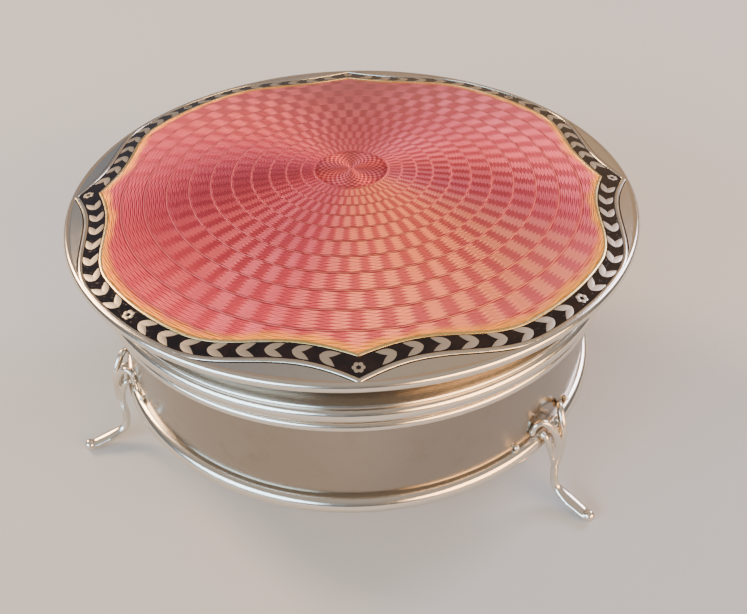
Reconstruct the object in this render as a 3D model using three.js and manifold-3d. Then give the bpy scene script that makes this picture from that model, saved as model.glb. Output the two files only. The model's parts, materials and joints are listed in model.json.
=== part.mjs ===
// Round silver trinket box with an enamelled, hinged lid on three cabriole legs.
// Millimetres, +Z up. The origin is the centre of the base plate's underside; the drum's
// axis is +Z, the front cusp of the lid's cartouche points to -Y and the hinge is at +Y.
import * as THREE from 'three';
import { mergeVertices } from 'three/addons/utils/BufferGeometryUtils.js';
import Module from 'manifold-3d';

const wasm = await Module();
wasm.setup();

// ---------------------------------------------------------------- driving dimensions
const RIM_RADIUS = 41.25;          // widest point of the lid
const RIM_HEIGHT = 27.4;           // height of that widest point above the base
const APEX_HEIGHT = 31.3;          // top of the domed enamel
const SEAM_HEIGHT = 18.2;          // where lid and body part
const WALL_RADIUS = 36.4;          // outside of the plain drum
const BEAD_RADIUS = 37.8;          // outside of the body's mouldings
const LID_BEAD_RADIUS = 38.4;
const FLOOR_Z = -10.5;             // surface that the feet stand on
const SHEET = 0.8;                 // gauge of the silver
const GAP = 0.3;                   // clearance between neighbouring pieces
const PLATE_THICKNESS = 0.9;       // base of the drum

// Sections of the turned pieces. A bead is a half-round edge.
const BASE_BEAD = { radius: 1.4, z: 1.55 };
const TOP_BEAD = { radius: 0.75, z: SEAM_HEIGHT - 0.95 };
const BEZEL = { inner: 33.5, outer: 34.3, low: 11.0, high: SEAM_HEIGHT + 2.2 };
const LIP_RADIUS = 1.05;           // rolled rim of the lid
const LID_BEAD = { radius: 1.2, z: SEAM_HEIGHT + 1.5 };
const SKIRT_RADIUS = 36.9;         // plain foot of the lid
const SKIRT_HEIGHT = 2.6;
const COVE_SPREAD = 3.2;           // how far the cove runs out beyond the skirt
const COVE_POWER = 1.8;            // its sweep gets steeper outwards with this power
const COVE_TOP = RIM_HEIGHT - 2.2;
const LINING_RADIUS = 35.5;        // gilt dish under the lid

const CIRCLE_STEPS = 48;           // facets round every turned piece
const OUTLINE_STEPS = 64;          // points round the cartouche
const DOME_STEPS = 3;              // facets from the dome's apex to its edge
const COVE_STEPS = 3;

const DOME_EDGE_RADIUS = 40.2;     // where the dome meets the rolled rim
const DOME_EDGE_HEIGHT = 28.0;
const ENAMEL_THICKNESS = 0.5;
const GUILLOCHE_THICKNESS = 0.5;

// Cartouche outlines as fractions of RIM_RADIUS: lobe, waist beside the cusp, cusp point.
const PINK_EDGE = { lobe: 0.912, waist: 0.845, cusp: 0.885 };
const BLACK_EDGE = { lobe: 0.968, waist: 0.908, cusp: 0.962 };
const FILLET_WIDTH = 0.5;
const FRAME_WIDTH = 0.6;
const WAIST_ANGLE = 11.5;          // degrees from the cusp
const LOBE_ANGLE = 33;

const LEG_AZIMUTHS = { leg_front_right: -44, leg_front_left: -162, leg_back: 77 };

// A leg's centre lines as [outwards, sideways, up]. The shank runs from the knee down the slim
// ankle to the pad foot. On each side a strap arches from the knee to the drum, and a rim runs
// from the front of the bead to the ankle.
const SHANK = [
  [39.4, 0, -1.6], [39.3, 0, -4.2], [39.5, 0, -6.4], [40.3, 0, -7.9], [42.6, 0, -8.9],
  [46.1, 0, -9.9],
];
const SHANK_HALF_WIDTHS = [0.6, 0.6, 0.55, 0.75, 1.2, 1.0];
const SHANK_HALF_DEPTHS = [0.5, 0.55, 0.55, 0.6, 0.65, 0.75];
const STRAP = [
  [39.3, 0.2, -4.0], [39.5, 0.4, -1.4], [39.4, 0.6, 1.4], [39.0, 0.95, 3.6], [38.2, 1.4, 5.1],
  [37.5, 1.9, 5.6], [37.2, 2.5, 5.2],
];
const STRAP_RADIUS = 0.5;
const SCROLL_RADIUS = 0.55;        // ball that ends each strap
const SIDE_RIM = [
  [38.1, 1.95, 3.4], [38.8, 1.7, 1.6], [39.1, 1.1, -0.8], [39.2, 0.4, -3.4],
];
const SIDE_RIM_RADIUS = 0.42;

const HINGE_RADIUS = 1.2;          // knuckle outside
const HINGE_BORE = 0.85;
const PIN_RADIUS = 0.5;
const HINGE_Y = LID_BEAD_RADIUS + HINGE_RADIUS + GAP;
const KNUCKLE_LENGTH = 2.8;
const KNUCKLE_COUNT = 5;
const LEAF_THICKNESS = 0.5;
const LID_LEAF_HEIGHT = 4.1;

// ---------------------------------------------------------------- materials
const finish = (color, roughness, metalness) =>
  new THREE.MeshStandardMaterial({ color, roughness, metalness });
const silver = () => finish(0xd9d4cc, 0.2, 1);
const gilt = () => finish(0xd8ac5c, 0.25, 1);
const pinkEnamel = () => finish(0xd07a8a, 0.15, 0.3);
const blackEnamel = () => finish(0x140e10, 0.12, 0);

// ---------------------------------------------------------------- solid helpers
function toSolid(geometry) {
  const bare = geometry.clone();
  bare.deleteAttribute('normal');
  bare.deleteAttribute('uv');
  const merged = mergeVertices(bare, 1e-4);
  return new wasm.Manifold(new wasm.Mesh({
    numProp: 3,
    vertProperties: new Float32Array(merged.attributes.position.array),
    triVerts: new Uint32Array(merged.index.array),
  }));
}

function toGeometry(solid) {
  const { vertProperties, triVerts } = solid.getMesh();
  const geometry = new THREE.BufferGeometry();
  geometry.setAttribute('position', new THREE.BufferAttribute(vertProperties, 3));
  geometry.setIndex(new THREE.BufferAttribute(triVerts, 1));
  geometry.computeVertexNormals();
  return geometry;
}

const join = (geometries) =>
  toGeometry(geometries.map(toSolid).reduce((sum, solid) => sum.add(solid)));

function part(name, geometry, material) {
  const mesh = new THREE.Mesh(geometry, material);
  mesh.name = name;
  return mesh;
}

// A turned ring or disc. The profile is [radius, z] points running anticlockwise.
function turned(profile) {
  const points = profile.map(([r, z]) => new THREE.Vector2(r, z));
  if (profile[0][0] !== 0) points.push(points[0].clone());
  return new THREE.LatheGeometry(points, CIRCLE_STEPS).rotateX(Math.PI / 2);
}

// Points on a circular arc about [r, z], from one angle to another in degrees.
function arc(r, z, radius, from, to, steps) {
  return Array.from({ length: steps + 1 }, (_, i) => {
    const angle = THREE.MathUtils.degToRad(from + (to - from) * i / steps);
    return [r + radius * Math.cos(angle), z + radius * Math.sin(angle)];
  });
}

const tube = (inner, outer, low, high) =>
  turned([[inner, low], [outer, low], [outer, high], [inner, high]]);

// ---------------------------------------------------------------- lid outline and dome
// Distance from the axis to the cartouche edge, for an angle measured from +X.
function outlineRadius(angle, { lobe, waist, cusp }) {
  const folded = Math.abs(THREE.MathUtils.euclideanModulo(angle + 45, 90) - 45);
  if (folded < WAIST_ANGLE) {
    const rise = 1 - folded / WAIST_ANGLE;
    return RIM_RADIUS * (waist + (cusp - waist) * rise * rise);
  }
  const run = Math.min((folded - WAIST_ANGLE) / (LOBE_ANGLE - WAIST_ANGLE), 1);
  return RIM_RADIUS * (waist + (lobe - waist) * (1 - Math.cos(Math.PI * run)) / 2);
}

function cartouche(edge, grow) {
  const points = Array.from({ length: OUTLINE_STEPS }, (_, i) => {
    const angle = i * 360 / OUTLINE_STEPS;
    const radius = outlineRadius(angle, edge) + grow;
    const turn = THREE.MathUtils.degToRad(angle);
    return new THREE.Vector2(radius * Math.cos(turn), radius * Math.sin(turn));
  });
  return new THREE.Shape(points);
}

function prism(edge, grow) {
  const depth = 20;
  const geometry = new THREE.ExtrudeGeometry(cartouche(edge, grow), { depth, bevelEnabled: false });
  return toSolid(geometry.translate(0, 0, DOME_EDGE_HEIGHT - depth / 2));
}

const domeHeight = (r) =>
  APEX_HEIGHT - (APEX_HEIGHT - DOME_EDGE_HEIGHT) * (r / DOME_EDGE_RADIUS) ** 2;

// Points on the dome from the axis to a radius, lowered by a depth.
function domeCurve(radius, depth) {
  return Array.from({ length: DOME_STEPS + 1 }, (_, i) => {
    const r = radius * i / DOME_STEPS;
    return [r, domeHeight(r) - depth];
  });
}

// A dish of even thickness that follows the dome, its top lowered by a depth.
function domeDish(radius, depth, thickness) {
  const top = domeCurve(radius, depth).reverse();
  return turned([...domeCurve(radius, depth + thickness), ...top]);
}

// ---------------------------------------------------------------- lid pieces
const PLATE_DEPTH = ENAMEL_THICKNESS + GAP;
const RECESS_DEPTH = PLATE_DEPTH + GUILLOCHE_THICKNESS + GAP;

function lidCap() {
  const lip = arc(RIM_RADIUS - LIP_RADIUS, RIM_HEIGHT, LIP_RADIUS, -60, 60, 3);
  const top = domeCurve(DOME_EDGE_RADIUS - 0.3, 0).reverse();
  const under = domeCurve(DOME_EDGE_RADIUS - 1.2, RECESS_DEPTH + SHEET);
  const cap = toSolid(turned([...under, ...lip, ...top]));
  const recessFloor = toSolid(turned([
    ...domeCurve(RIM_RADIUS, RECESS_DEPTH), [RIM_RADIUS, 40], [0, 40],
  ]));
  return toGeometry(cap.subtract(recessFloor.intersect(prism(BLACK_EDGE, FRAME_WIDTH + GAP))));
}

function inlay(outer, outerGrow, inner, innerGrow) {
  const dish = toSolid(domeDish(RIM_RADIUS, 0, ENAMEL_THICKNESS));
  const plate = dish.intersect(prism(outer, outerGrow));
  return toGeometry(inner ? plate.subtract(prism(inner, innerGrow)) : plate);
}

function guillochePlate() {
  const dish = toSolid(domeDish(RIM_RADIUS, PLATE_DEPTH, GUILLOCHE_THICKNESS));
  return toGeometry(dish.intersect(prism(BLACK_EDGE, FRAME_WIDTH)));
}

// Concave band between the lid's bead and its rim, with a plain skirt down to the seam.
function lidCove() {
  const foot = SEAM_HEIGHT + 0.2;
  const neck = foot + SKIRT_HEIGHT;
  const sweep = (offset) => Array.from({ length: COVE_STEPS + 1 }, (_, i) => {
    const t = i / COVE_STEPS;
    const radius = SKIRT_RADIUS + COVE_SPREAD * t ** COVE_POWER;
    return [radius - offset, neck + (COVE_TOP - neck) * t];
  });
  return turned([
    [SKIRT_RADIUS - SHEET, foot], [SKIRT_RADIUS, foot], ...sweep(0), ...sweep(SHEET).reverse(),
  ]);
}

function lidWire() {
  const { radius, z } = LID_BEAD;
  const inner = LID_BEAD_RADIUS - radius;
  return turned([[inner, z - radius], ...arc(inner, z, radius, -75, 75, 4), [inner, z + radius]]);
}

function lidLining() {
  const depth = RECESS_DEPTH + SHEET + GAP;
  return domeDish(LINING_RADIUS, depth, SHEET);
}

// ---------------------------------------------------------------- body pieces
const plateRadius = WALL_RADIUS - SHEET - GAP;
const basePlate = () =>
  turned([[0, 0], [plateRadius, 0], [plateRadius, PLATE_THICKNESS], [0, PLATE_THICKNESS]]);
const drumWall = () => tube(WALL_RADIUS - SHEET, WALL_RADIUS, GAP, SEAM_HEIGHT - GAP);
const innerBezel = () => tube(BEZEL.inner, BEZEL.outer, BEZEL.low, BEZEL.high);

// A half-round bead that clips round the outside of the drum.
function bodyBead({ radius, z }) {
  const inner = WALL_RADIUS + GAP;
  const bead = arc(BEAD_RADIUS - radius, z, radius, -70, 70, 4);
  return turned([[inner, z - radius], ...bead, [inner, z + radius]]);
}

// ---------------------------------------------------------------- legs
// A rod that follows a curve. Its section is an ellipse, widthAt(t) across the leg's own
// plane (Y) and depthAt(t) in it, so a capped cylinder is bent along the curve.
function bentRod(points, sides, steps, widthAt, depthAt) {
  const curve = new THREE.CatmullRomCurve3(points.map((p) => new THREE.Vector3(...p)));
  const rod = new THREE.CylinderGeometry(1, 1, 1, sides, steps);
  const position = rod.attributes.position;
  const across = new THREE.Vector3(0, 1, 0);
  for (let i = 0; i < position.count; i++) {
    const t = THREE.MathUtils.clamp(position.getY(i) + 0.5, 0, 1);
    const centre = curve.getPoint(t);
    const tangent = curve.getTangent(t);
    const side = across.clone().addScaledVector(tangent, -across.dot(tangent)).normalize();
    const normal = new THREE.Vector3().crossVectors(side, tangent);
    centre.addScaledVector(side, position.getX(i) * widthAt(t));
    centre.addScaledVector(normal, position.getZ(i) * depthAt(t));
    position.setXYZ(i, centre.x, centre.y, centre.z);
  }
  return rod;
}

// A value that follows a list of evenly spaced stations.
function stations(values) {
  const last = values.length - 1;
  return (t) => {
    const place = t * last;
    const low = Math.min(Math.floor(place), last - 1);
    return THREE.MathUtils.lerp(values[low], values[low + 1], place - low);
  };
}

const ball = (x, y, z, radius) => new THREE.SphereGeometry(radius, 6, 4).translate(x, y, z);

const mirrored = (points, side) => points.map(([x, y, z]) => [x, side * y, z]);

// One casting in its own plane: X outwards, Z up, with its foot ground flat where it stands.
function legCasting() {
  const pieces = [
    bentRod(SHANK, 8, 10, stations(SHANK_HALF_WIDTHS), stations(SHANK_HALF_DEPTHS)),
  ];
  for (const side of [-1, 1]) {
    const strap = mirrored(STRAP, side);
    const even = (radius) => () => radius;
    pieces.push(bentRod(strap, 6, 9, even(STRAP_RADIUS), even(STRAP_RADIUS)));
    pieces.push(ball(...strap.at(-1), SCROLL_RADIUS));
    pieces.push(bentRod(mirrored(SIDE_RIM, side), 6, 5, even(SIDE_RIM_RADIUS), even(SIDE_RIM_RADIUS)));
  }
  const casting = pieces.map(toSolid).reduce((sum, solid) => sum.add(solid));
  const ground = new THREE.BoxGeometry(40, 40, 4).translate(40, 0, FLOOR_Z - 2);
  return toGeometry(casting.subtract(toSolid(ground)));
}

function leg(name, azimuth) {
  const mesh = part(name, legCasting(), silver());
  mesh.rotation.z = THREE.MathUtils.degToRad(azimuth);
  return mesh;
}

// ---------------------------------------------------------------- hinge
const knuckleStart = (index) =>
  (index - KNUCKLE_COUNT / 2) * (KNUCKLE_LENGTH + GAP) + GAP / 2;

function knuckle(index) {
  const length = KNUCKLE_LENGTH;
  const wall = [[HINGE_BORE, 0], [HINGE_RADIUS, 0], [HINGE_RADIUS, length], [HINGE_BORE, length]];
  const points = [...wall, wall[0]].map(([r, z]) => new THREE.Vector2(r, z));
  const geometry = new THREE.LatheGeometry(points, 12).rotateZ(-Math.PI / 2);
  return geometry.translate(knuckleStart(index), HINGE_Y, SEAM_HEIGHT);
}

function hingePin() {
  const length = KNUCKLE_COUNT * (KNUCKLE_LENGTH + GAP) + 0.6;
  const pin = new THREE.CylinderGeometry(PIN_RADIUS, PIN_RADIUS, length, 12).rotateZ(Math.PI / 2);
  return pin.translate(0, HINGE_Y, SEAM_HEIGHT);
}

// A strip as wide as the row of knuckles, extruded from its [y, z] section.
function hingeLeaf(section) {
  const outline = new THREE.Shape(section.map(([y, z]) => new THREE.Vector2(y, z)));
  const depth = KNUCKLE_COUNT * (KNUCKLE_LENGTH + GAP);
  const strip = new THREE.ExtrudeGeometry(outline, { depth, bevelEnabled: false });
  strip.translate(0, 0, -depth / 2);
  return strip.rotateY(Math.PI / 2).rotateX(Math.PI / 2);
}

// The lid's leaf stands on the knuckles and meets the cove near its top.
function lidLeaf() {
  const inner = LID_BEAD_RADIUS + GAP;
  const foot = SEAM_HEIGHT + HINGE_RADIUS + GAP;
  const outer = inner + LEAF_THICKNESS;
  const top = foot + LID_LEAF_HEIGHT;
  return hingeLeaf([[inner, foot], [outer, foot], [outer, top], [inner, top]]);
}

// The body's leaf hangs from the knuckles and steps in under the bead to the drum.
function bodyLeaf() {
  const top = SEAM_HEIGHT - HINGE_RADIUS - GAP;
  const outer = [[39.2, top], [39.0, 15.6], [38.0, 14.2], [37.3, 13.2], [37.3, 9.4]];
  const inner = outer.map(([y, z]) => [y - LEAF_THICKNESS, z]).reverse();
  return hingeLeaf([...outer, ...inner]);
}

// ---------------------------------------------------------------- assembly
const body = new THREE.Group();
body.add(
  part('base_plate', basePlate(), silver()),
  part('drum_wall', drumWall(), silver()),
  part('base_moulding', bodyBead(BASE_BEAD), silver()),
  part('top_moulding', bodyBead(TOP_BEAD), silver()),
  part('inner_bezel', innerBezel(), gilt()),
  part('body_hinge_leaf', bodyLeaf(), silver()),
  part('hinge_pin', hingePin(), silver()),
);
for (const [name, azimuth] of Object.entries(LEG_AZIMUTHS)) body.add(leg(name, azimuth));

const lid = new THREE.Group();
lid.add(
  part('lid_cap', lidCap(), silver()),
  part('lid_cove', lidCove(), silver()),
  part('lid_wire', lidWire(), silver()),
  part('lid_lining', lidLining(), gilt()),
  part('guilloche_plate', guillochePlate(), silver()),
  part('cartouche_frame', inlay(BLACK_EDGE, FRAME_WIDTH, BLACK_EDGE, GAP), silver()),
  part('black_enamel', inlay(BLACK_EDGE, 0, PINK_EDGE, FILLET_WIDTH + 2 * GAP), blackEnamel()),
  part('gold_fillet', inlay(PINK_EDGE, FILLET_WIDTH + GAP, PINK_EDGE, GAP), gilt()),
  part('pink_enamel', inlay(PINK_EDGE, 0), pinkEnamel()),
  part('lid_hinge_leaf', lidLeaf(), silver()),
);

for (let index = 0; index < KNUCKLE_COUNT; index++) {
  const owner = index % 2 ? lid : body;
  const name = `${index % 2 ? 'lid' : 'body'}_knuckle_${Math.floor(index / 2) + 1}`;
  owner.add(part(name, knuckle(index), silver()));
}

const box = new THREE.Group();
box.add(body, lid);
export default box;
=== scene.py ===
"""Looks of the round silver trinket box with its pink enamelled lid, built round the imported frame.

Lengths are in millimetres and are scaled once, where a mesh is made. Only the lights and the floor's
size are in metres.
The drum's axis is Z, the front of the box faces -Y and the hinge is at +Y.
"""
import json
import math

import bmesh
import bpy
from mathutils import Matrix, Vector


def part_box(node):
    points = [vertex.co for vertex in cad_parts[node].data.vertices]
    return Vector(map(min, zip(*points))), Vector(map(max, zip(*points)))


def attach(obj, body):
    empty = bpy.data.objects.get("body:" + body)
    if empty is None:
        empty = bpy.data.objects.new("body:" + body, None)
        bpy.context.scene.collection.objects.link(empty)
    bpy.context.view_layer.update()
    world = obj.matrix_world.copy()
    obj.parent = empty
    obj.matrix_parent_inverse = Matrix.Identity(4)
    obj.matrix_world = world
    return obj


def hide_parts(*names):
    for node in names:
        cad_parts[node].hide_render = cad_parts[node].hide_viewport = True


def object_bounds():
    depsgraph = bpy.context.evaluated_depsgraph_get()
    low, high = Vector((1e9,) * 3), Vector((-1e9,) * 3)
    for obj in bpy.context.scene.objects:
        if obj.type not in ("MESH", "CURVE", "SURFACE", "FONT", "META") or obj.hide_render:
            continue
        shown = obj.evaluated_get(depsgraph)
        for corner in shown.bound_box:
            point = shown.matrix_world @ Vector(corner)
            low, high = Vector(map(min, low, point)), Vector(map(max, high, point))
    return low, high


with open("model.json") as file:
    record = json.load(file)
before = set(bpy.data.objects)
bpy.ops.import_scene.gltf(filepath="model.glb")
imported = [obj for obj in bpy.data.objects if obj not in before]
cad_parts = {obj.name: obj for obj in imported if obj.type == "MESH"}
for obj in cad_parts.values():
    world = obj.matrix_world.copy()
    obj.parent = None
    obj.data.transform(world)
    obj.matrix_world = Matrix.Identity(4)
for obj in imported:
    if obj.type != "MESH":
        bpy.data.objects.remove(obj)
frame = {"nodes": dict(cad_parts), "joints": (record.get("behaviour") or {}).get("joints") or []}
cad_low, cad_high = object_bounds()

# ---------------------------------------------------------------- driving dimensions
MM = 0.001

# From the frame
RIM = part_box("lid_cap")[1].x / MM                  # widest radius of the lid
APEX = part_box("pink_enamel")[1].z / MM             # top of the dome
FLOOR = cad_low.z / MM                             # surface that the feet stand on
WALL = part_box("drum_wall")[1].x / MM               # outside of the drum
BODY_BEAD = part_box("base_moulding")[1].x / MM      # outside of both body mouldings
LID_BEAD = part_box("lid_wire")[1].x / MM            # outside of the bead at the lid's lower edge
BEZEL_LOW, BEZEL_HIGH = (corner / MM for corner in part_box("inner_bezel"))
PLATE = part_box("base_plate")[1] / MM               # radius in x, top in z
HINGE_Y = frame["joints"][0]["pos_m"][1] / MM
SEAM = frame["joints"][0]["pos_m"][2] / MM         # the lid and drum part at the hinge's height

# Metal
SHEET = 0.8                                        # thickness of the spun silver
LAP = 0.1                                          # how far a moulding reaches into its neighbour
SEAM_GAP = 0.2                                     # from the seam to the sheet on each side of it
PLAIN_STEPS = 360                                  # steps round a plain turned piece
OUTLINE_STEPS = 720                                # steps round a piece that follows the cartouche

# Drum mouldings
BASE_BEAD = 1.4                                    # radius of the bead round the foot
BASE_BEAD_Z = 1.55
TOP_BEAD = 0.75                                    # radius of the bead under the seam
TOP_BEAD_Z = SEAM - 0.95

# Lid
RIM_Z = SEAM + 9.2                                 # height of the lid's widest point
LIP = 0.75                                         # radius of the rolled rim
DOME_EDGE = RIM - LIP                              # where the dome meets the rolled rim
DOME_EDGE_Z = RIM_Z + 0.6                          # dome's height there
CAP_DEPTH = 2.4                                    # from the dome down to the cap's underside
LINING_DEPTH = 2.7                                 # from the dome down to the lining
SKIRT = 36.9                                       # outside of the skirt under the cove
COVE_LOW = SEAM + 2.8                              # where the skirt turns into the cove
COVE_SPREAD = 3.5                                  # how far the cove flares out from the skirt
COVE_CURVE = 1.8                                   # power of the flare
LID_WIRE = 1.2                                     # radius of the lid's bead
LID_WIRE_Z = SEAM + 1.5

# Cartouche outlines as fractions of the rim: middle of a lobe, waist beside the cusp, cusp point.
PINK_EDGE = (0.910, 0.843, 0.885)
BLACK_EDGE = (0.974, 0.912, 0.970)
WAIST_ANGLE, LOBE_ANGLE = 11.5, 33.0               # where waist and lobe begin, degrees from a cusp
FILLET = 0.45                                      # width of the gold line round the pink
FRAME_WIDTH = 0.62                                 # width of the raised silver line round the black
FRAME_HEIGHT, FILLET_HEIGHT = 0.16, 0.08           # how far the two lines stand proud
ENAMEL = 0.3                                       # thickness of both enamels
RECESS = 0.35                                      # depth of their bed in the cap

# Engine turning; radii are fractions of the rim and azimuths are in degrees.
RAYS = 52                                          # light blocks in a ring
RINGS = 12.5                                       # rings between the middle and the rim, if even
RING_DRAW, RING_FADE = 3.96, 0.15                  # how many more crowd at the middle, and how far out
TEETH = 6                                          # teeth along the side of a block
FINE_LINES = 12                                    # engraved circles in a ring
MEDALLION = 0.128                                  # radius of the rosette in the middle
ROSETTE_RAYS = 26
ROSETTE_RING = 0.021                               # spacing of the rosette's circles
HIGHLIGHT_SIDE = -63                                    # azimuth of the painted golden highlight on the enamel
SHADE_SIDE = 174                                   # azimuth of the painted shade on the enamel
EDGE_FADE = 2.2                                    # width of the golden margin, in millimetres

# Silver set in the black band
LEAF_PAIRS = 8                                     # between a cusp and the middle of a lobe
LEAF_LENGTH, LEAF_WIDTH = 2.45, 0.92
LEAF_REACH = 1.25                                  # from the middle of a pair to its shared point
LEAF_SPREAD = 24                                   # degrees from the band's line to each leaf
PETALS = 6
PETAL_PLACE = 0.52                                 # from the flower's middle to a petal's
PETAL_LONG, PETAL_WIDE = 0.26, 0.29                # half length and half width of a petal
INLAY_EDGE, INLAY_RIDGE = 0.015, 0.05              # heights over the enamel
INLAY_ROOT = 0.05                                  # depth under it

# Legs, each in its own plane: X outwards, Y to the side, Z up. Widths and depths are half sizes.
LEG_TURNS = {"leg_front_right": -44, "leg_front_left": -162, "leg_back": 77}
SHANK = [(39.4, 0, -1.6), (39.3, 0, -4.2), (39.5, 0, -6.4), (40.3, 0, -7.9), (42.6, 0, -8.9),
         (46.1, 0, -9.9)]
SHANK_WIDTHS = [0.6, 0.62, 0.58, 0.8, 1.2, 1.0]
SHANK_DEPTHS = [0.5, 0.62, 0.62, 0.68, 0.66, 0.6]
SHANK_KEEL = 1.12                                  # over 1 sharpens the shank's edges
WEB = [(39.2, 0, -3.4), (39.1, 0, -0.8), (38.8, 0, 1.4), (38.2, 0, 3.5)]
WEB_WIDTHS = [0.5, 0.95, 1.2, 1.0]
WEB_DEPTHS = [0.3, 0.3, 0.28, 0.2]
STRAP = [(39.3, 0.2, -4.0), (39.5, 0.4, -1.4), (39.4, 0.6, 1.4), (39.0, 0.95, 3.6),
         (38.2, 1.4, 5.1), (37.4, 2.1, 5.9), (36.8, 2.9, 5.6), (36.6, 3.4, 4.7)]
STRAP_RADII = [0.35, 0.5, 0.58, 0.58, 0.55, 0.5, 0.45, 0.4]
SIDE_RIM = [(37.0, 1.9, 3.5), (38.0, 1.9, 3.2), (38.7, 1.7, 1.5), (39.05, 1.1, -0.8), (39.2, 0.4, -3.4)]
SIDE_RIM_RADII = [0.4, 0.45, 0.45, 0.4, 0.3]
PAD, PAD_RADIUS = (45.9, 0, -9.7), 0.95            # the toe
STRAP_END, STRAP_END_RADIUS = (36.6, 3.45, 4.45), 0.5
PIP, PIP_RADIUS = (36.1, 6.35, 3.4), 0.48          # on the bead, beside the leg
CAST_GRAIN = 0.13                                  # size of the cells that melt the rods together

# Hinge
KNUCKLE_RADIUS, KNUCKLE_BORE = 1.2, 0.6
PIN_RADIUS = 0.55

# Camera, in millimetres and degrees
CAMERA_PLACE, CAMERA_TARGET = (0, -106.97, 93.77), (2.81, 0, 5.18)
CAMERA_ROLL = -1.12
CAMERA_LENS, CAMERA_SENSOR = 40.75, 36

# Soft lights, in metres: place, width, height, brightness and colour.
SOFTBOXES = {
    "warm_side": ((0.60, -0.56, 0.32), 0.95, 0.42, 12.0, (1.0, 0.60, 0.28)),
    "cool_side": ((-0.60, -0.56, 0.32), 0.95, 0.42, 10.0, (0.55, 0.78, 1.0)),
    "warm_fan": ((-0.62, 0.42, 0.50), 0.38, 0.38, 26.0, (1.0, 0.68, 0.40)),
    "cool_fan": ((0.62, 0.42, 0.50), 0.38, 0.38, 13.0, (0.86, 0.84, 1.0)),
}

# The room: its base tone, then glows with a direction, the cosines where each starts and is full,
# and a colour. The first is the ceiling, and the others are behind the box, to the left and right.
ROOM_TONE = (0.15, 0.16, 0.18, 1)
ROOM_GLOWS = [((0, 0, 1), 0.0, 1.0, (0.58, 0.51, 0.44, 1)),
              ((-0.45, 0.85, 0.42), 0.60, 0.98, (0.26, 0.28, 0.33, 1)),
              ((0.45, 0.85, 0.42), 0.66, 0.98, (0.62, 0.42, 0.27, 1))]
FLOOR_SIZE = 3                                     # metres
FLOOR_TONES = (0.54, 0.545, 0.55, 1), (0.57, 0.575, 0.58, 1)


# ---------------------------------------------------------------- mesh helpers
def finished(name, bm, materials, crease=40):
    """Turns a bmesh in millimetres into a smooth-shaded object in metres."""
    bmesh.ops.recalc_face_normals(bm, faces=bm.faces)
    bmesh.ops.scale(bm, vec=(MM, MM, MM), verts=bm.verts)
    mesh = bpy.data.meshes.new(name)
    bm.to_mesh(mesh)
    bm.free()
    mesh.shade_smooth()
    mesh.set_sharp_from_angle(angle=math.radians(crease))
    for material in materials:
        mesh.materials.append(material)
    obj = bpy.data.objects.new(name, mesh)
    bpy.context.scene.collection.objects.link(obj)
    return obj


def polar(name, rings, materials, loop=False, bands=None, crease=40, steps=PLAIN_STEPS):
    """A solid of rings about Z. A ring is (radius, z), or a function of the angle that gives it.

    A ring of radius 0 is one vertex. loop joins the last ring to the first. bands gives the
    material index of the band that follows each ring.
    """
    bm = bmesh.new()
    rows = []
    for ring in rings:
        if not callable(ring) and ring[0] == 0:
            rows.append([bm.verts.new((0, 0, ring[1]))])
            continue
        row = []
        for step in range(steps):
            angle = 2 * math.pi * step / steps
            radius, z = ring(angle) if callable(ring) else ring
            row.append(bm.verts.new((radius * math.cos(angle), radius * math.sin(angle), z)))
        rows.append(row)
    pairs = list(zip(rows, rows[1:])) + ([(rows[-1], rows[0])] if loop else [])
    for index, (low, high) in enumerate(pairs):
        for step in range(steps):
            after = (step + 1) % steps
            corners = [low[step % len(low)], low[after % len(low)],
                       high[after % len(high)], high[step % len(high)]]
            face = bm.faces.new(list(dict.fromkeys(corners)))
            face.material_index = bands.get(index, 0) if bands else 0
    return finished(name, bm, materials, crease)


def arc(r, z, radius, start, end, steps=10):
    """Points on a circle about (r, z), from one angle to another in degrees."""
    angles = [math.radians(start + (end - start) * i / steps) for i in range(steps + 1)]
    return [(r + radius * math.cos(a), z + radius * math.sin(a)) for a in angles]


def place(obj, body, slot, *nodes):
    """Fixes a piece to a body, and lets it stand in for CAD nodes. The slot is not used."""
    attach(obj, body)
    if nodes:
        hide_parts(*nodes)


# ---------------------------------------------------------------- dome and cartouche
def dome(r, depth=0.0):
    """Height of the lid's top at a radius, lowered by a depth."""
    return APEX - (APEX - DOME_EDGE_Z) * (r / DOME_EDGE) ** 2 - depth


def outline(angle, edge):
    """Radius of a cartouche outline; the cusps are at 0, 90, 180 and 270 degrees."""
    lobe, waist, cusp = edge
    folded = abs((math.degrees(angle) + 45) % 90 - 45)
    if folded < WAIST_ANGLE:
        rise = 1 - folded / WAIST_ANGLE
        return RIM * (waist + (cusp - waist) * rise ** 2)
    run = min((folded - WAIST_ANGLE) / (LOBE_ANGLE - WAIST_ANGLE), 1)
    return RIM * (waist + (lobe - waist) * (1 - math.cos(math.pi * run)) / 2)


def on_dome(edge, grow=0.0, depth=0.0, limit=RIM):
    """A ring that follows an outline, moved outwards by grow and down by depth."""
    def ring(angle):
        radius = min(outline(angle, edge) + grow, limit)
        return radius, dome(radius, depth)
    return ring


def between(inner, outer, part):
    """A ring part of the way from one ring to another."""
    def ring(angle):
        (r0, z0), (r1, z1) = inner(angle), outer(angle)
        radius = r0 + (r1 - r0) * part
        return radius, z0 + (z1 - z0) * part
    return ring


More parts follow.
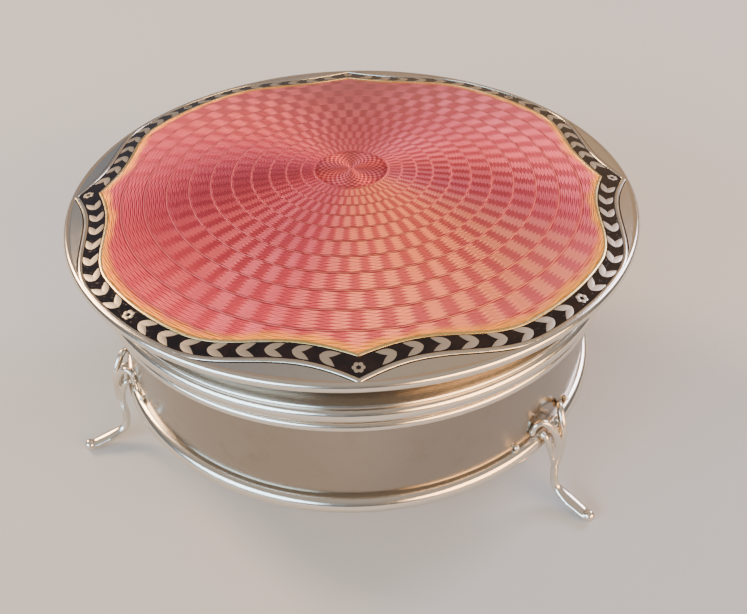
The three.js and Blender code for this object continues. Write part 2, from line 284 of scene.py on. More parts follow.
# ---------------------------------------------------------------- node helper
class Nodes:
    """Short calls for building a node tree."""

    def __init__(self, name):
        self.material = bpy.data.materials.new(name)
        self.material.use_nodes = True
        self.tree = self.material.node_tree
        self.shader = self.tree.nodes["Principled BSDF"]

    def add(self, kind, **settings):
        node = self.tree.nodes.new(kind)
        for key, value in settings.items():
            setattr(node, key, value)
        return node

    def put(self, socket, value):
        if isinstance(value, bpy.types.NodeSocket):
            self.tree.links.new(value, socket)
        else:
            socket.default_value = value

    def math(self, operation, *values):
        node = self.add("ShaderNodeMath", operation=operation)
        for socket, value in zip(node.inputs, values):
            self.put(socket, value)
        return node.outputs[0]

    def total(self, start, *terms):
        """A starting value plus each term, given as a value and its weight."""
        for value, weight in terms:
            start = self.math("ADD", start, self.math("MULTIPLY", value, weight))
        return start

    def mix(self, factor, first, second):
        """Colour between two; inputs 6 and 7 and output 2 are the node's colour sockets."""
        node = self.add("ShaderNodeMix", data_type="RGBA")
        self.put(node.inputs["Factor"], factor)
        self.put(node.inputs[6], first)
        self.put(node.inputs[7], second)
        return node.outputs[2]

    def ramp(self, value, low, high):
        """A smooth step from 0 at low to 1 at high."""
        node = self.add("ShaderNodeMapRange", interpolation_type="SMOOTHSTEP")
        for socket, number in zip(node.inputs, (value, low, high)):
            self.put(socket, number)
        return node.outputs[0]

    def noise(self, scale, detail=4.0, roughness=0.5, stretch=(1, 1, 1)):
        """Object-space noise from 0 to 1; scale is in cycles per millimetre."""
        mapping = self.add("ShaderNodeMapping")
        self.put(mapping.inputs["Vector"], self.add("ShaderNodeTexCoord").outputs["Object"])
        mapping.inputs["Scale"].default_value = [s / MM for s in stretch]
        node = self.add("ShaderNodeTexNoise")
        self.put(node.inputs["Vector"], mapping.outputs[0])
        node.inputs["Scale"].default_value = scale
        node.inputs["Detail"].default_value = detail
        node.inputs["Roughness"].default_value = roughness
        return node.outputs["Fac"]

    def polar(self):
        """Radius as a fraction of the rim, and angle in radians."""
        split = self.add("ShaderNodeSeparateXYZ")
        self.put(split.inputs[0], self.add("ShaderNodeTexCoord").outputs["Object"])
        x, y, _ = split.outputs
        squares = self.total(0.0, (x, x), (y, y))
        radius = self.math("DIVIDE", self.math("SQRT", squares), RIM * MM)
        return radius, self.math("ARCTAN2", y, x)

    def bump(self, height, strength, depth):
        """Normal for a relief whose depth is in millimetres."""
        node = self.add("ShaderNodeBump")
        node.inputs["Strength"].default_value = strength
        node.inputs["Distance"].default_value = depth * MM
        self.put(node.inputs["Height"], height)
        return node.outputs[0]

    def set(self, **values):
        """Sets the shader's inputs by name, with _ for a space, and gives back the material."""
        for key, value in values.items():
            self.put(self.shader.inputs[key.replace("_", " ")], value)
        return self.material


# ---------------------------------------------------------------- materials
# Lit and shaded tones of the pink enamel, the painted highlight and painted shade of alternate cut
# blocks; a pair is a warm tone and a cool one, in soft patches.
LIT_BLOCK_TONES = (1.0, 0.19, 0.20, 1), (0.96, 0.16, 0.30, 1)
SHADED_BLOCK_TONES = (0.62, 0.045, 0.065, 1), (0.54, 0.036, 0.105, 1)
# The next two are painted light: a golden painted highlight on one side of the field and painted shade
# on another.
PAINTED_HIGHLIGHT_TONE = (1.0, 0.34, 0.10, 1)                   # painted highlight
PAINTED_SHADE_TONE = (0.42, 0.024, 0.07, 1)
GOLD_TONE = (1.0, 0.36, 0.035, 1)                  # along the field's edge
# Painted highlights on the fine circles and on the ridge between rings, and painted shade in the ring's
# grooves.
FINE_LINE_HIGHLIGHT_TONE = (1.0, 0.42, 0.30, 1)
RING_HIGHLIGHT_TONE = (1.0, 0.40, 0.32, 1)
RING_SHADE_TONE = (0.30, 0.014, 0.03, 1)
ROSETTE_TONES = (0.42, 0.025, 0.055, 1), (0.88, 0.15, 0.17, 1)
ROSETTE_RIM_TONE = (0.36, 0.020, 0.045, 1)


def silver_material(name, tint, rough, tarnish=0.35):
    """Polished old silver: soft cloudy wear, hair scratches and a little tarnish."""
    n = Nodes(name)
    cloud = n.noise(0.22, 5, 0.6)
    fine = n.noise(1.3, 4, 0.6)
    scratch = n.ramp(n.noise(1.1, 8, 0.75, (1.0, 1.0, 7.0)), 0.56, 0.72)
    dull = n.math("MULTIPLY", n.ramp(cloud, 0.5, 0.75), tarnish)
    roughness = n.total(rough, (fine, 0.07), (scratch, 0.10), (dull, 0.18))
    stained = tuple(c * k for c, k in zip(tint[:3], (0.82, 0.76, 0.68))) + (1,)
    height = n.total(0.0, (fine, 0.6), (scratch, 0.4))
    return n.set(Base_Color=n.mix(dull, tint, stained), Metallic=1.0, Roughness=roughness,
                 Normal=n.bump(height, 0.12, 0.05))


def gilt_material():
    """Gold wash over silver, rubbed down in patches."""
    n = Nodes("gilt")
    cloud = n.ramp(n.noise(0.16, 5, 0.6), 0.42, 0.72)
    fine = n.noise(1.5, 5, 0.65)
    colour = n.mix(cloud, (0.83, 0.58, 0.22, 1), (0.87, 0.71, 0.42, 1))
    return n.set(Base_Color=colour, Metallic=1.0, Roughness=n.total(0.20, (fine, 0.16)),
                 Normal=n.bump(fine, 0.15, 0.05))


def black_material():
    """Opaque black enamel with faint pits and a soft brown cast in patches."""
    n = Nodes("black_enamel")
    cloud = n.noise(0.5, 4, 0.6)
    pits = n.ramp(n.noise(2.2, 3, 0.5), 0.62, 0.7)
    colour = n.mix(n.ramp(cloud, 0.4, 0.7), (0.006, 0.004, 0.005, 1), (0.014, 0.007, 0.007, 1))
    return n.set(Base_Color=colour, Roughness=n.total(0.12, (pits, 0.2)), IOR=1.42,
                 Normal=n.bump(pits, 0.2, 0.03))


def pink_material():
    """Translucent pink enamel over engine turning, with a clear polished face."""
    n = Nodes("pink_enamel")
    radius, angle = n.polar()
    cut = engine_turning(n, radius, angle)
    rose, rosette = medallion(n, radius, angle)
    field = n.ramp(radius, MEDALLION * 0.97, MEDALLION)
    colour = n.mix(field, rose, pink_colour(n, angle, cut))

    relief = n.total(0.0, (cut["wave"], 0.5), (cut["fine"], 0.12), (cut["shade"], -0.9))
    centre = n.math("MULTIPLY", rosette, n.math("SUBTRACT", 1.0, field))
    relief = n.total(n.math("MULTIPLY", relief, field), (centre, 0.5))
    tangent = n.add("ShaderNodeTangent", direction_type="RADIAL", axis="Z").outputs[0]
    return n.set(Base_Color=colour, Metallic=0.85, Roughness=n.total(0.40, (cut["block"], 0.12)),
                 Anisotropic=0.9, Tangent=tangent, Normal=n.bump(relief, 0.6, 0.12),
                 Coat_Weight=0.6, Coat_Roughness=0.07, Coat_IOR=1.36)


def engine_turning(n, radius, angle):
    """The cut ground: rings of blocks that swap from light to dark, and lines between the rings."""
    # Rings are evenly spaced near the edge and draw together towards the medallion.
    crowding = n.math("EXPONENT", n.math("DIVIDE", radius, -RING_FADE))
    turn = n.total(0.0, (radius, RINGS), (crowding, -RING_DRAW))
    ring = n.math("FLOOR", turn)
    part = n.math("SUBTRACT", turn, ring)
    teeth = n.math("SINE", n.math("MULTIPLY", part, TEETH * 2 * math.pi))
    phase = n.total(0.0, (angle, RAYS), (ring, math.pi), (teeth, 0.5))
    wave = n.math("COSINE", phase)
    # A bright line between two dark ones where one ring of blocks meets the next.
    gap = n.math("SUBTRACT", 0.5, n.math("ABSOLUTE", n.math("SUBTRACT", part, 0.5)))
    shade = n.math("MULTIPLY", n.ramp(gap, 0.014, 0.034), n.ramp(gap, 0.068, 0.046))
    fine = n.math("SINE", n.math("MULTIPLY", turn, FINE_LINES * 2 * math.pi))
    return {"wave": wave, "block": n.ramp(wave, -0.4, 0.4), "line": n.ramp(gap, 0.018, 0.006),
            "shade": shade, "fine": fine}


def facing(n, angle, side, width):
    """A soft sector: 1 where the angle points to a side, 0 where its cosine is under width."""
    away = n.math("SUBTRACT", angle, math.radians(side))
    return n.ramp(n.math("COSINE", away), width, 1.0)


def pink_colour(n, angle, cut):
    """Colour of the engine-turned field, which burns to gold along its edge, with painted highlights
    and painted shade.
    """
    drift = n.noise(0.035, 2, 0.5)
    lit_block_tone = n.mix(drift, *LIT_BLOCK_TONES)
    shaded_block_tone = n.mix(drift, *SHADED_BLOCK_TONES)
    cloud = n.ramp(n.noise(0.09, 3, 0.55), 0.35, 0.7)
    strength = n.total(0.45, (cloud, 0.4))
    # Painted highlight on the light blocks and painted shade on the dark ones, on top of the bump's own
    # shading.
    colour = n.mix(n.math("MULTIPLY", cut["block"], strength), shaded_block_tone, lit_block_tone)
    # Painted light by azimuth: a golden painted highlight on one side, stronger on the light blocks,
    # and painted shade on another.
    highlight_sector = facing(n, angle, HIGHLIGHT_SIDE, 0.68)
    highlight_sector = n.math("MULTIPLY", highlight_sector, n.total(0.14, (cut["block"], 0.52)))
    shade_sector = n.math("MULTIPLY", facing(n, angle, SHADE_SIDE, 0.50), 0.8)
    near = n.add("ShaderNodeAttribute", attribute_name="edge").outputs["Fac"]
    warm = n.total(near, (n.math("SUBTRACT", n.noise(0.25, 4), 0.5), 0.9))
    layers = [(highlight_sector, PAINTED_HIGHLIGHT_TONE),
              (shade_sector, PAINTED_SHADE_TONE),
              # Painted highlights on the fine circles and ring ridges, painted shade in the ring
              # grooves.
              (n.math("MULTIPLY", n.ramp(cut["fine"], 0.2, 1.0), 0.14), FINE_LINE_HIGHLIGHT_TONE),
              (n.math("MULTIPLY", cut["line"], 0.5), RING_HIGHLIGHT_TONE),
              (n.math("MULTIPLY", cut["shade"], 0.9), RING_SHADE_TONE),
              (n.ramp(warm, 0.35, 1.0), GOLD_TONE)]
    for factor, tone in layers:
        colour = n.mix(factor, colour, tone)
    return colour


def medallion(n, radius, angle):
    """Colour and relief of the rosette in the middle: short rays crossed by fine circles."""
    rays = n.math("COSINE", n.math("MULTIPLY", angle, ROSETTE_RAYS))
    circles = n.math("SINE", n.math("MULTIPLY", radius, 2 * math.pi / ROSETTE_RING))
    weave = n.math("MULTIPLY", rays, circles)
    colour = n.mix(n.ramp(weave, -0.6, 0.6), *ROSETTE_TONES)
    rim = n.math("MULTIPLY", n.ramp(radius, MEDALLION * 0.86, MEDALLION * 0.92), 0.6)
    return n.mix(rim, colour, ROSETTE_RIM_TONE), weave


SILVER = silver_material("silver", (0.72, 0.66, 0.575, 1), 0.13)
# Painted dark reflection: a darker silver for the drum's wall and the lid's cove, standing in for the
# dark surroundings they mirror.
SILVER_PAINTED_DARK = silver_material("silver_painted_dark", (0.33, 0.285, 0.235, 1), 0.16, 0.45)
SILVER_CAST = silver_material("cast_silver", (0.78, 0.71, 0.62, 1), 0.16, 0.5)
SILVER_INLAY = silver_material("inlay_silver", (0.64, 0.555, 0.45, 1), 0.30, 0.5)
# Dark silver: oxide in the cap's groove round the frame, and painted shade of the seam on the lid's
# skirt.
OXIDE_AND_SEAM_SHADE = silver_material("oxide_and_painted_seam_shade", (0.10, 0.075, 0.055, 1), 0.45)
GILT = gilt_material()
BLACK = black_material()
PINK = pink_material()


# ---------------------------------------------------------------- body
def base_plate():
    """Disc in the foot of the drum, gilt on top."""
    edge, top = PLATE.x, PLATE.z
    foot_bevel, top_bevel = 0.3, 0.2
    rings = [(0, 0), (edge - foot_bevel, 0), (edge, foot_bevel), (edge, top - top_bevel),
             (edge - top_bevel, top), (0, top)]
    obj = polar("base_plate_fine", rings, [SILVER, GILT], bands={4: 1}, steps=PLAIN_STEPS // 2)
    place(obj, "box", "polished_silver", "base_plate")


def drum_wall():
    """Plain cylinder, silver outside and gilt inside and on its upper edge."""
    gap = 0.3
    inside, low, high = WALL - SHEET, gap, SEAM - gap
    rings = [(inside, low), (WALL, low), (WALL, high), (inside, high)]
    # The outside is the darker silver, a painted dark reflection.
    obj = polar("drum_wall_fine", rings, [SILVER_PAINTED_DARK, GILT], loop=True, bands={2: 1, 3: 1})
    place(obj, "box", "polished_silver", "drum_wall")


def base_moulding():
    """Bead round the foot of the drum, with a narrow inner face against the wall and the plate."""
    bead = arc(BODY_BEAD - BASE_BEAD, BASE_BEAD_Z, BASE_BEAD, -86, 82, 22)
    rings = [(PLATE.x - LAP, 0.12), *bead, (WALL - LAP, 2.9), (WALL - LAP, 1.0)]
    obj = polar("base_moulding_fine", rings, [SILVER], loop=True, crease=30)
    place(obj, "box", "polished_silver", "base_moulding")


def top_moulding():
    """Bead under the seam, with the flat seat that runs in to the bezel."""
    bead = arc(BODY_BEAD - TOP_BEAD, TOP_BEAD_Z, TOP_BEAD, -88, 88, 16)
    seat = [(BEZEL_HIGH.x - LAP, SEAM - SEAM_GAP), (BEZEL_HIGH.x - LAP, SEAM - 0.9)]
    rings = [(WALL - LAP, TOP_BEAD_Z - TOP_BEAD), *bead, *seat]
    obj = polar("top_moulding_fine", rings, [SILVER], loop=True, crease=30)
    place(obj, "box", "polished_silver", "top_moulding")


def inner_bezel():
    """Collar inside the mouth, with a rounded upper edge."""
    inside, outside = BEZEL_HIGH.x - SHEET, BEZEL_HIGH.x
    low, high = BEZEL_LOW.z, BEZEL_HIGH.z
    lip = arc((inside + outside) / 2, high - SHEET / 2, SHEET / 2, 0, 180)
    rings = [(inside, low), (outside, low), *lip]
    obj = polar("inner_bezel_fine", rings, [GILT], loop=True)
    place(obj, "box", "gilt_silver", "inner_bezel")


# ---------------------------------------------------------------- lid
def lid_cap():
    """Domed sheet with the rolled rim, silver spandrels and the recess that holds the enamel."""
    edge = DOME_EDGE - 0.05
    brim = on_dome(BLACK_EDGE, FRAME_WIDTH + 0.16, limit=edge - 0.06)
    recess = on_dome(BLACK_EDGE, FRAME_WIDTH + 0.02, RECESS, limit=edge - 0.12)

    def shoulder(_):
        return edge, dome(edge)

    under = [(r, dome(r, CAP_DEPTH)) for r in (10, 20, 30, 36, DOME_EDGE - 1.2)]
    lip = arc(DOME_EDGE, RIM_Z, LIP, -75, 80, 22)
    field = [between(brim, shoulder, part) for part in (1, 0.8, 0.6, 0.4, 0.2, 0)]
    rings = [(0, dome(0, CAP_DEPTH)), *under, *lip, *field, recess, (0, dome(0, RECESS))]
    groove = len(rings) - 3
    obj = polar("lid_cap_fine", rings, [SILVER, OXIDE_AND_SEAM_SHADE], bands={groove: 1, groove + 1: 1}, crease=50,
                steps=OUTLINE_STEPS)
    place(obj, "lid", "polished_silver", "lid_cap")


def cove_profile(inset):
    """The flare from the skirt out to the rim, moved inwards by an inset."""
    high = RIM_Z - 0.9
    steps = [i / 14 for i in range(15)]
    return [(SKIRT + COVE_SPREAD * t ** COVE_CURVE - inset, COVE_LOW + (high - COVE_LOW) * t)
            for t in steps]


def lid_cove():
    """Hollow band between the rim and the lid's bead, with the plain skirt down to the seam.

    It is gilt inside. The skirt is in dark silver as painted shade of the seam under the bead.
    """
    foot = SEAM + SEAM_GAP
    inner = cove_profile(SHEET)[::-1]
    rings = [(SKIRT - SHEET, foot), (SKIRT, foot), *cove_profile(0), *inner]
    bands = {band: 1 for band in range(len(rings) - len(inner), len(rings))}
    # Painted shade: the skirt is dark silver for the seam under the bead, and the cove is the darker
    # silver as a painted dark reflection.
    bands[1] = 2
    obj = polar("lid_cove_fine", rings, [SILVER_PAINTED_DARK, GILT, OXIDE_AND_SEAM_SHADE], loop=True, bands=bands, crease=50)
    place(obj, "lid", "polished_silver", "lid_cove")


def lid_wire():
    """Bead at the lid's lower edge, with a small step above it."""
    low, high, root = LID_WIRE_Z - LID_WIRE, LID_WIRE_Z + 1.5, SKIRT - 0.2
    bead = arc(LID_BEAD - LID_WIRE, LID_WIRE_Z, LID_WIRE, -88, 70, 18)
    step = [(LID_BEAD - 0.85, LID_WIRE_Z + 1.2), (LID_BEAD - 0.95, LID_WIRE_Z + 1.42),
            (LID_BEAD - 1.25, high)]
    rings = [(root, low), *bead, *step, (root, high)]
    obj = polar("lid_wire_fine", rings, [SILVER], loop=True, crease=30)
    place(obj, "lid", "polished_silver", "lid_wire")


def lid_lining():
    """Gilt dished sheet that closes the lid from inside."""
    radii = [0, 8, 16, 24, 30, 34, 35.5]
    top = [(r, dome(r, LINING_DEPTH)) for r in radii]
    under = [(r, dome(r, LINING_DEPTH + SHEET)) for r in radii]
    obj = polar("lid_lining_fine", [*under, *top[::-1]], [GILT])
    place(obj, "lid", "gilt_silver", "lid_lining")


def raised_line(edge, width, height, material, slot, node):
    """A half-round wire that follows an outline, just outside it."""
    steps = 8
    limit = DOME_EDGE + 0.1
    crown = [(width * (1 - math.cos(math.pi * i / steps)) / 2,
              -height * math.sin(math.pi * i / steps)) for i in range(steps + 1)]
    rings = [on_dome(edge, grow, depth, limit) for grow, depth in crown]
    rings += [on_dome(edge, width, ENAMEL, limit), on_dome(edge, 0, ENAMEL)]
    obj = polar(node + "_fine", rings, [material], loop=True, crease=50, steps=OUTLINE_STEPS)
    place(obj, "lid", slot, node)


def black_enamel():
    """The black border between the gold line and the raised silver line."""
    inner, outer = on_dome(PINK_EDGE, FILLET), on_dome(BLACK_EDGE)
    rings = [between(inner, outer, part) for part in (0, 0.25, 0.5, 0.75, 1)]
    rings += [on_dome(BLACK_EDGE, 0, ENAMEL), on_dome(PINK_EDGE, FILLET, ENAMEL)]
    obj = polar("black_enamel_fine", rings, [BLACK], loop=True, steps=OUTLINE_STEPS)
    place(obj, "lid", "black_enamel", "black_enamel")


def pink_enamel():
    """The enamelled field. Its edge attribute rises from 0 to 1 over the golden margin."""
    steps = 60

    def ring(part, depth=0.0):
        def at(angle):
            radius = outline(angle, PINK_EDGE) * part
            return radius, dome(radius, depth)
        return at

    rings = [(0, dome(0)), *(ring(i / steps) for i in range(1, steps + 1))]
    rings += [ring(1, ENAMEL), (0, dome(0, ENAMEL))]
    obj = polar("pink_enamel_fine", rings, [PINK], steps=OUTLINE_STEPS)
    attribute = obj.data.attributes.new("edge", "FLOAT", "POINT")
    for vertex, value in zip(obj.data.vertices, attribute.data):
        x, y = vertex.co.x / MM, vertex.co.y / MM
        inset = outline(math.atan2(y, x), PINK_EDGE) - math.hypot(x, y)
        value.value = max(0.0, 1 - inset / EDGE_FADE)
    place(obj, "lid", "pink_enamel", "pink_enamel", "guilloche_plate")


# ---------------------------------------------------------------- silver inlays in the black band
def band_middle(angle):
    """Radius of the middle of the black band."""
    inner = outline(angle, PINK_EDGE) + FILLET
    return (inner + outline(angle, BLACK_EDGE)) / 2


def band_frame(angle):
    """Point on the middle of the black band, with unit vectors along and across it."""
    step = math.radians(0.4)

    def point(a):
        r = band_middle(a)
        return Vector((r * math.cos(a), r * math.sin(a)))

    along = (point(angle + step) - point(angle - step)).normalized()
    return point(angle), along, Vector((along.y, -along.x))


def crowned_plate(bm, points):
    """A thin plate on the dome with a ridged top. The points of its outline are in plan."""
    centre = sum(points, Vector((0, 0))) / len(points)

    def vert(p, lift):
        return bm.verts.new((p.x, p.y, dome(p.length) + lift))

    top = [vert(p, INLAY_EDGE) for p in points]
    foot = [vert(p, -INLAY_ROOT) for p in points]
    ridge, keel = vert(centre, INLAY_RIDGE), vert(centre, -INLAY_ROOT)
    count = len(top)
    for i in range(count):
        j = (i + 1) % count
        bm.faces.new((top[i], top[j], ridge))
        bm.faces.new((foot[j], foot[i], keel))
        bm.faces.new((top[j], top[i], foot[i], foot[j]))


def leaf(origin, direction, side):
    """Outline of a leaf that starts at origin and is widest a little before its middle."""
    steps = 8

    def edge(i, reach):
        t = i / steps
        bow = math.sin(math.pi * t ** 0.8)
        return origin + direction * LEAF_LENGTH * t + side * (LEAF_WIDTH * bow * reach)

    outer = [edge(i, 0.52) for i in range(steps + 1)]
    inner = [edge(i, -0.48) for i in range(steps - 1, 0, -1)]
    return outer + inner


def leaf_pair(bm, angle, heading):
    """Two leaves that part like a V; their shared point looks along the band by heading."""
    middle, along, across = band_frame(angle)
    along = along * heading
    tip = middle + along * LEAF_REACH
    spread = math.radians(LEAF_SPREAD)
    for hand in (-1, 1):
        direction = -along * math.cos(spread) + across * hand * math.sin(spread)
        side = along * math.sin(spread) + across * hand * math.cos(spread)
        crowned_plate(bm, leaf(tip, direction, side))


def flower(bm, angle):
    """A round flower of petals about an open black eye."""
    middle, along, across = band_frame(angle)
    corners = 12
    for i in range(PETALS):
        turn = 2 * math.pi * i / PETALS
        out = along * math.cos(turn) + across * math.sin(turn)
        side = across * math.cos(turn) - along * math.sin(turn)
        angles = [2 * math.pi * k / corners for k in range(corners)]
        crowned_plate(bm, [middle + out * (PETAL_PLACE + PETAL_LONG * math.cos(a))
                           + side * (PETAL_WIDE * math.sin(a)) for a in angles])


def inlays():
    """Leaves that run from the middle of each lobe to the cusps, and a flower at both places."""
    bm = bmesh.new()
    for quarter in range(4):
        cusp = math.radians(90 * quarter)
        for heading in (-1, 1):
            for i in range(LEAF_PAIRS):
                angle = cusp + heading * math.radians(45 * (i + 1) / (LEAF_PAIRS + 1))
                leaf_pair(bm, angle, heading)
        flower(bm, cusp)
        flower(bm, cusp + math.radians(45))
    obj = finished("laurel_inlay", bm, [SILVER_INLAY], crease=25)
    place(obj, "lid", "polished_silver")


# ---------------------------------------------------------------- legs
def span(items, t):
    """Index of the item before t, which runs from 0 to 1, and how far t is on the way to the next."""
    reach = t * (len(items) - 1)
    index = min(int(reach), len(items) - 2)
    return index, reach - index


def spline(points, t):
    """Catmull-Rom point at t from 0 to 1."""
    i, u = span(points, t)
    p = [Vector(points[max(0, min(len(points) - 1, i + k))]) for k in (-1, 0, 1, 2)]
    return 0.5 * ((2 * p[1]) + (p[2] - p[0]) * u + (2 * p[0] - 5 * p[1] + 4 * p[2] - p[3]) * u ** 2
                  + (3 * p[1] - p[0] - 3 * p[2] + p[3]) * u ** 3)


def station(values, t):
    """Value at t from 0 to 1, in straight steps between the values."""
    i, u = span(values, t)
    return values[i] + (values[i + 1] - values[i]) * u


def rod(bm, points, widths, depths, steps=60, sides=20, keel=1.0):
    """A closed rod along a spline: width across Y, depth in the plane. keel sharpens its edges."""
    def bend(value):
        return math.copysign(abs(value) ** keel, value)

    turns = [2 * math.pi * k / sides for k in range(sides)]
    rows = []
    for s in range(steps + 1):
        t = s / steps
        centre = spline(points, t)
        ahead, behind = spline(points, min(1, t + 0.01)), spline(points, max(0, t - 0.01))
        tangent = (ahead - behind).normalized()
        side = (Vector((0, 1, 0)) - tangent * tangent.y).normalized()
        normal = side.cross(tangent)
        width, depth = station(widths, t), station(depths, t)
        rows.append([bm.verts.new(centre + side * width * bend(math.cos(a))
                                  + normal * depth * bend(math.sin(a))) for a in turns])
    for low, high in zip(rows, rows[1:]):
        for k in range(sides):
            j = (k + 1) % sides
            bm.faces.new((low[k], low[j], high[j], high[k]))
    bm.faces.new(rows[0][::-1])
    bm.faces.new(rows[-1])


def scroll(bm, points, radii, hand):
    """A round rod on one side of the leg; hand is 1 or -1."""
    rod(bm, [(x, hand * y, z) for x, y, z in points], radii, radii, steps=44, sides=16)


def ball(bm, centre, radius, hand=1):
    x, y, z = centre
    made = bmesh.ops.create_uvsphere(bm, u_segments=20, v_segments=14, radius=radius)
    bmesh.ops.translate(bm, verts=made["verts"], vec=(x, hand * y, z))


def leg(node, turn):
    """One casting: two straps that arch over the bead, a web between them, the shank and its toe."""
    bm = bmesh.new()
    rod(bm, SHANK, SHANK_WIDTHS, SHANK_DEPTHS, keel=SHANK_KEEL)
    ball(bm, PAD, PAD_RADIUS)
    rod(bm, WEB, WEB_WIDTHS, WEB_DEPTHS, steps=40)
    for hand in (-1, 1):
        scroll(bm, STRAP, STRAP_RADII, hand)
        ball(bm, STRAP_END, STRAP_END_RADIUS, hand)
        scroll(bm, SIDE_RIM, SIDE_RIM_RADII, hand)
        ball(bm, PIP, PIP_RADIUS, hand)
    obj = finished(node + "_fine", bm, [SILVER_CAST])
    cast_together(obj, CAST_GRAIN)
    for vertex in obj.data.vertices:
        vertex.co.z = max(vertex.co.z, FLOOR * MM)
    obj.rotation_euler.z = math.radians(turn)
    place(obj, "box", "polished_silver", node)


def cast_together(obj, voxel):
    """Melts overlapping rods into one smooth skin, as in a casting."""
    remesh = obj.modifiers.new("melt", "REMESH")
    remesh.mode = "VOXEL"
    remesh.voxel_size = voxel * MM
    soften = obj.modifiers.new("soften", "SMOOTH")
    soften.factor = 0.5
    soften.iterations = 6
    melted = obj.evaluated_get(bpy.context.evaluated_depsgraph_get())
    mesh = bpy.data.meshes.new_from_object(melted)
    obj.modifiers.clear()
    obj.data = mesh
    mesh.shade_smooth()


# ---------------------------------------------------------------- hinge
def along_x(obj, x, y, z):
    """Lays a piece that was turned about Z along X, with its foot at a point in millimetres."""
    for vertex in obj.data.vertices:
        a, b, c = vertex.co
        vertex.co = (c + x * MM, b + y * MM, -a + z * MM)


def knuckle(node, body):
    """A bevelled tube round the pin, as long as the frame's own knuckle."""
    low, high = (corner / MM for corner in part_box(node))
    length, bevel, r = high.x - low.x, 0.15, KNUCKLE_RADIUS
    rings = [(KNUCKLE_BORE, 0), (r - bevel, 0), (r, bevel), (r, length - bevel),
             (r - bevel, length), (KNUCKLE_BORE, length)]
    obj = polar(node + "_fine", rings, [SILVER], loop=True, crease=50, steps=64)
    along_x(obj, low.x, HINGE_Y, SEAM)
    place(obj, body, "polished_silver", node)


def hinge_pin():
    """The pin with rounded ends."""
    low, high = (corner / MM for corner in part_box("hinge_pin"))
    length, soft = high.x - low.x, 0.25
    rings = [(0, 0), *arc(PIN_RADIUS - soft, soft, soft, -90, 0, 5),
             *arc(PIN_RADIUS - soft, length - soft, soft, 0, 90, 5), (0, length)]
    obj = polar("hinge_pin_fine", rings, [SILVER], steps=48)
    along_x(obj, low.x, HINGE_Y, SEAM)
    place(obj, "box", "polished_silver", "hinge_pin")


def hinge_leaf(node, body):
    """The frame's own leaf, with its corners softened."""
    weld, bevel = 0.01, 0.12
    obj = bpy.data.objects.new(node + "_fine", frame["nodes"][node].data.copy())
    bpy.context.scene.collection.objects.link(obj)
    bm = bmesh.new()
    bm.from_mesh(obj.data)
    bmesh.ops.remove_doubles(bm, verts=bm.verts, dist=weld * MM)
    bmesh.ops.dissolve_limit(bm, angle_limit=math.radians(2), verts=bm.verts, edges=bm.edges)
    bmesh.ops.bevel(bm, geom=bm.edges, offset=bevel * MM, segments=3, affect="EDGES", profile=0.6)
    bm.to_mesh(obj.data)
    bm.free()
    obj.data.shade_smooth()
    obj.data.set_sharp_from_angle(angle=math.radians(30))
    obj.data.materials.clear()
    obj.data.materials.append(SILVER)
    place(obj, body, "polished_silver", node)


# ---------------------------------------------------------------- stage
def floor():
    bpy.ops.mesh.primitive_plane_add(size=FLOOR_SIZE, location=(0, 0, FLOOR * MM))
    plane = bpy.context.object
    plane.name = "floor"
    n = Nodes("floor")
    tone = n.mix(n.noise(0.004, 3, 0.5), *FLOOR_TONES)
    plane.data.materials.append(n.set(Base_Color=tone, Roughness=0.75))


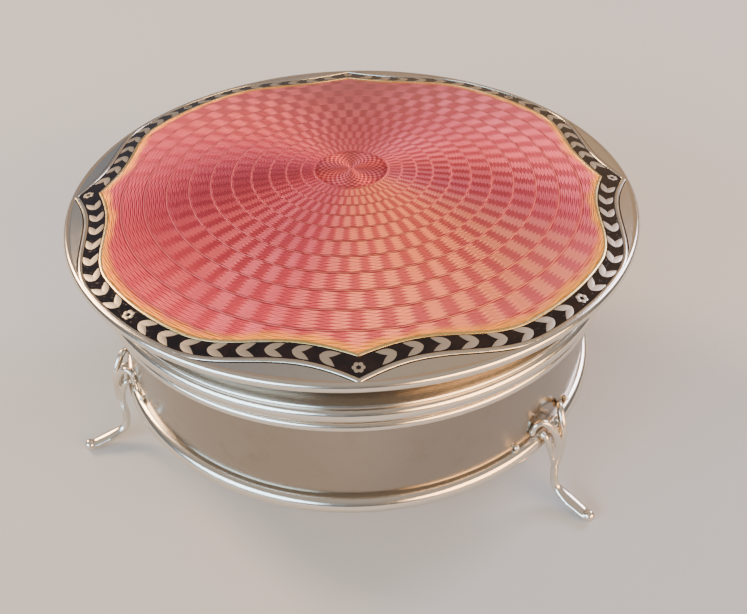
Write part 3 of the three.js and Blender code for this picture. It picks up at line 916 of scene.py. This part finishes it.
def world_light():
    """A dim room with a paler ceiling, and two soft glows behind the box."""
    world = bpy.data.worlds.new("world")
    bpy.context.scene.world = world
    world.use_nodes = True
    tree = world.node_tree
    direction = tree.nodes.new("ShaderNodeTexCoord").outputs["Generated"]
    colour = None
    for towards, start, full, tone in ROOM_GLOWS:
        dot = tree.nodes.new("ShaderNodeVectorMath")
        dot.operation = "DOT_PRODUCT"
        tree.links.new(direction, dot.inputs[0])
        dot.inputs[1].default_value = Vector(towards).normalized()
        fade = tree.nodes.new("ShaderNodeMapRange")
        fade.interpolation_type = "SMOOTHSTEP"
        tree.links.new(dot.outputs["Value"], fade.inputs["Value"])
        fade.inputs["From Min"].default_value = start
        fade.inputs["From Max"].default_value = full
        mix = tree.nodes.new("ShaderNodeMix")
        mix.data_type = "RGBA"
        tree.links.new(fade.outputs[0], mix.inputs["Factor"])
        mix.inputs[6].default_value = ROOM_TONE
        mix.inputs[7].default_value = tone
        if colour:
            tree.links.new(colour, mix.inputs[6])
        colour = mix.outputs[2]
    tree.links.new(colour, tree.nodes["Background"].inputs["Color"])


def softbox(name, location, width, height, radiance, colour):
    """A soft oval light of even brightness, aimed at the box."""
    light = bpy.data.lights.new(name, "AREA")
    light.shape = "ELLIPSE"
    light.size = width
    light.size_y = height
    light.color = colour
    area = math.pi * width * height / 4
    light.energy = math.pi * area * radiance
    obj = bpy.data.objects.new(name, light)
    obj.location = location
    obj.rotation_euler = (-Vector(location)).to_track_quat("-Z", "Y").to_euler()
    bpy.context.scene.collection.objects.link(obj)


def camera():
    position, target = Vector(CAMERA_PLACE) * MM, Vector(CAMERA_TARGET) * MM
    data = bpy.data.cameras.new("camera")
    data.lens = CAMERA_LENS
    data.sensor_width = CAMERA_SENSOR
    data.clip_start = 0.01
    obj = bpy.data.objects.new("camera", data)
    obj.location = position
    obj.rotation_euler = (target - position).to_track_quat("-Z", "Y").to_matrix().to_euler()
    obj.rotation_euler.rotate_axis("Z", math.radians(CAMERA_ROLL))
    bpy.context.scene.collection.objects.link(obj)
    bpy.context.scene.camera = obj


# ---------------------------------------------------------------- assembly
camera()
base_plate()
drum_wall()
base_moulding()
top_moulding()
inner_bezel()
lid_cap()
lid_cove()
lid_wire()
lid_lining()
raised_line(BLACK_EDGE, FRAME_WIDTH, FRAME_HEIGHT, SILVER, "polished_silver", "cartouche_frame")
raised_line(PINK_EDGE, FILLET, FILLET_HEIGHT, GILT, "gilt_silver", "gold_fillet")
black_enamel()
pink_enamel()
inlays()
for leg_node, leg_turn in LEG_TURNS.items():
    leg(leg_node, leg_turn)
for number in (1, 2, 3):
    knuckle(f"body_knuckle_{number}", "box")
for number in (1, 2):
    knuckle(f"lid_knuckle_{number}", "lid")
hinge_pin()
hinge_leaf("body_hinge_leaf", "box")
hinge_leaf("lid_hinge_leaf", "lid")
floor()
world_light()
for light_name, settings in SOFTBOXES.items():
    softbox(light_name, *settings)
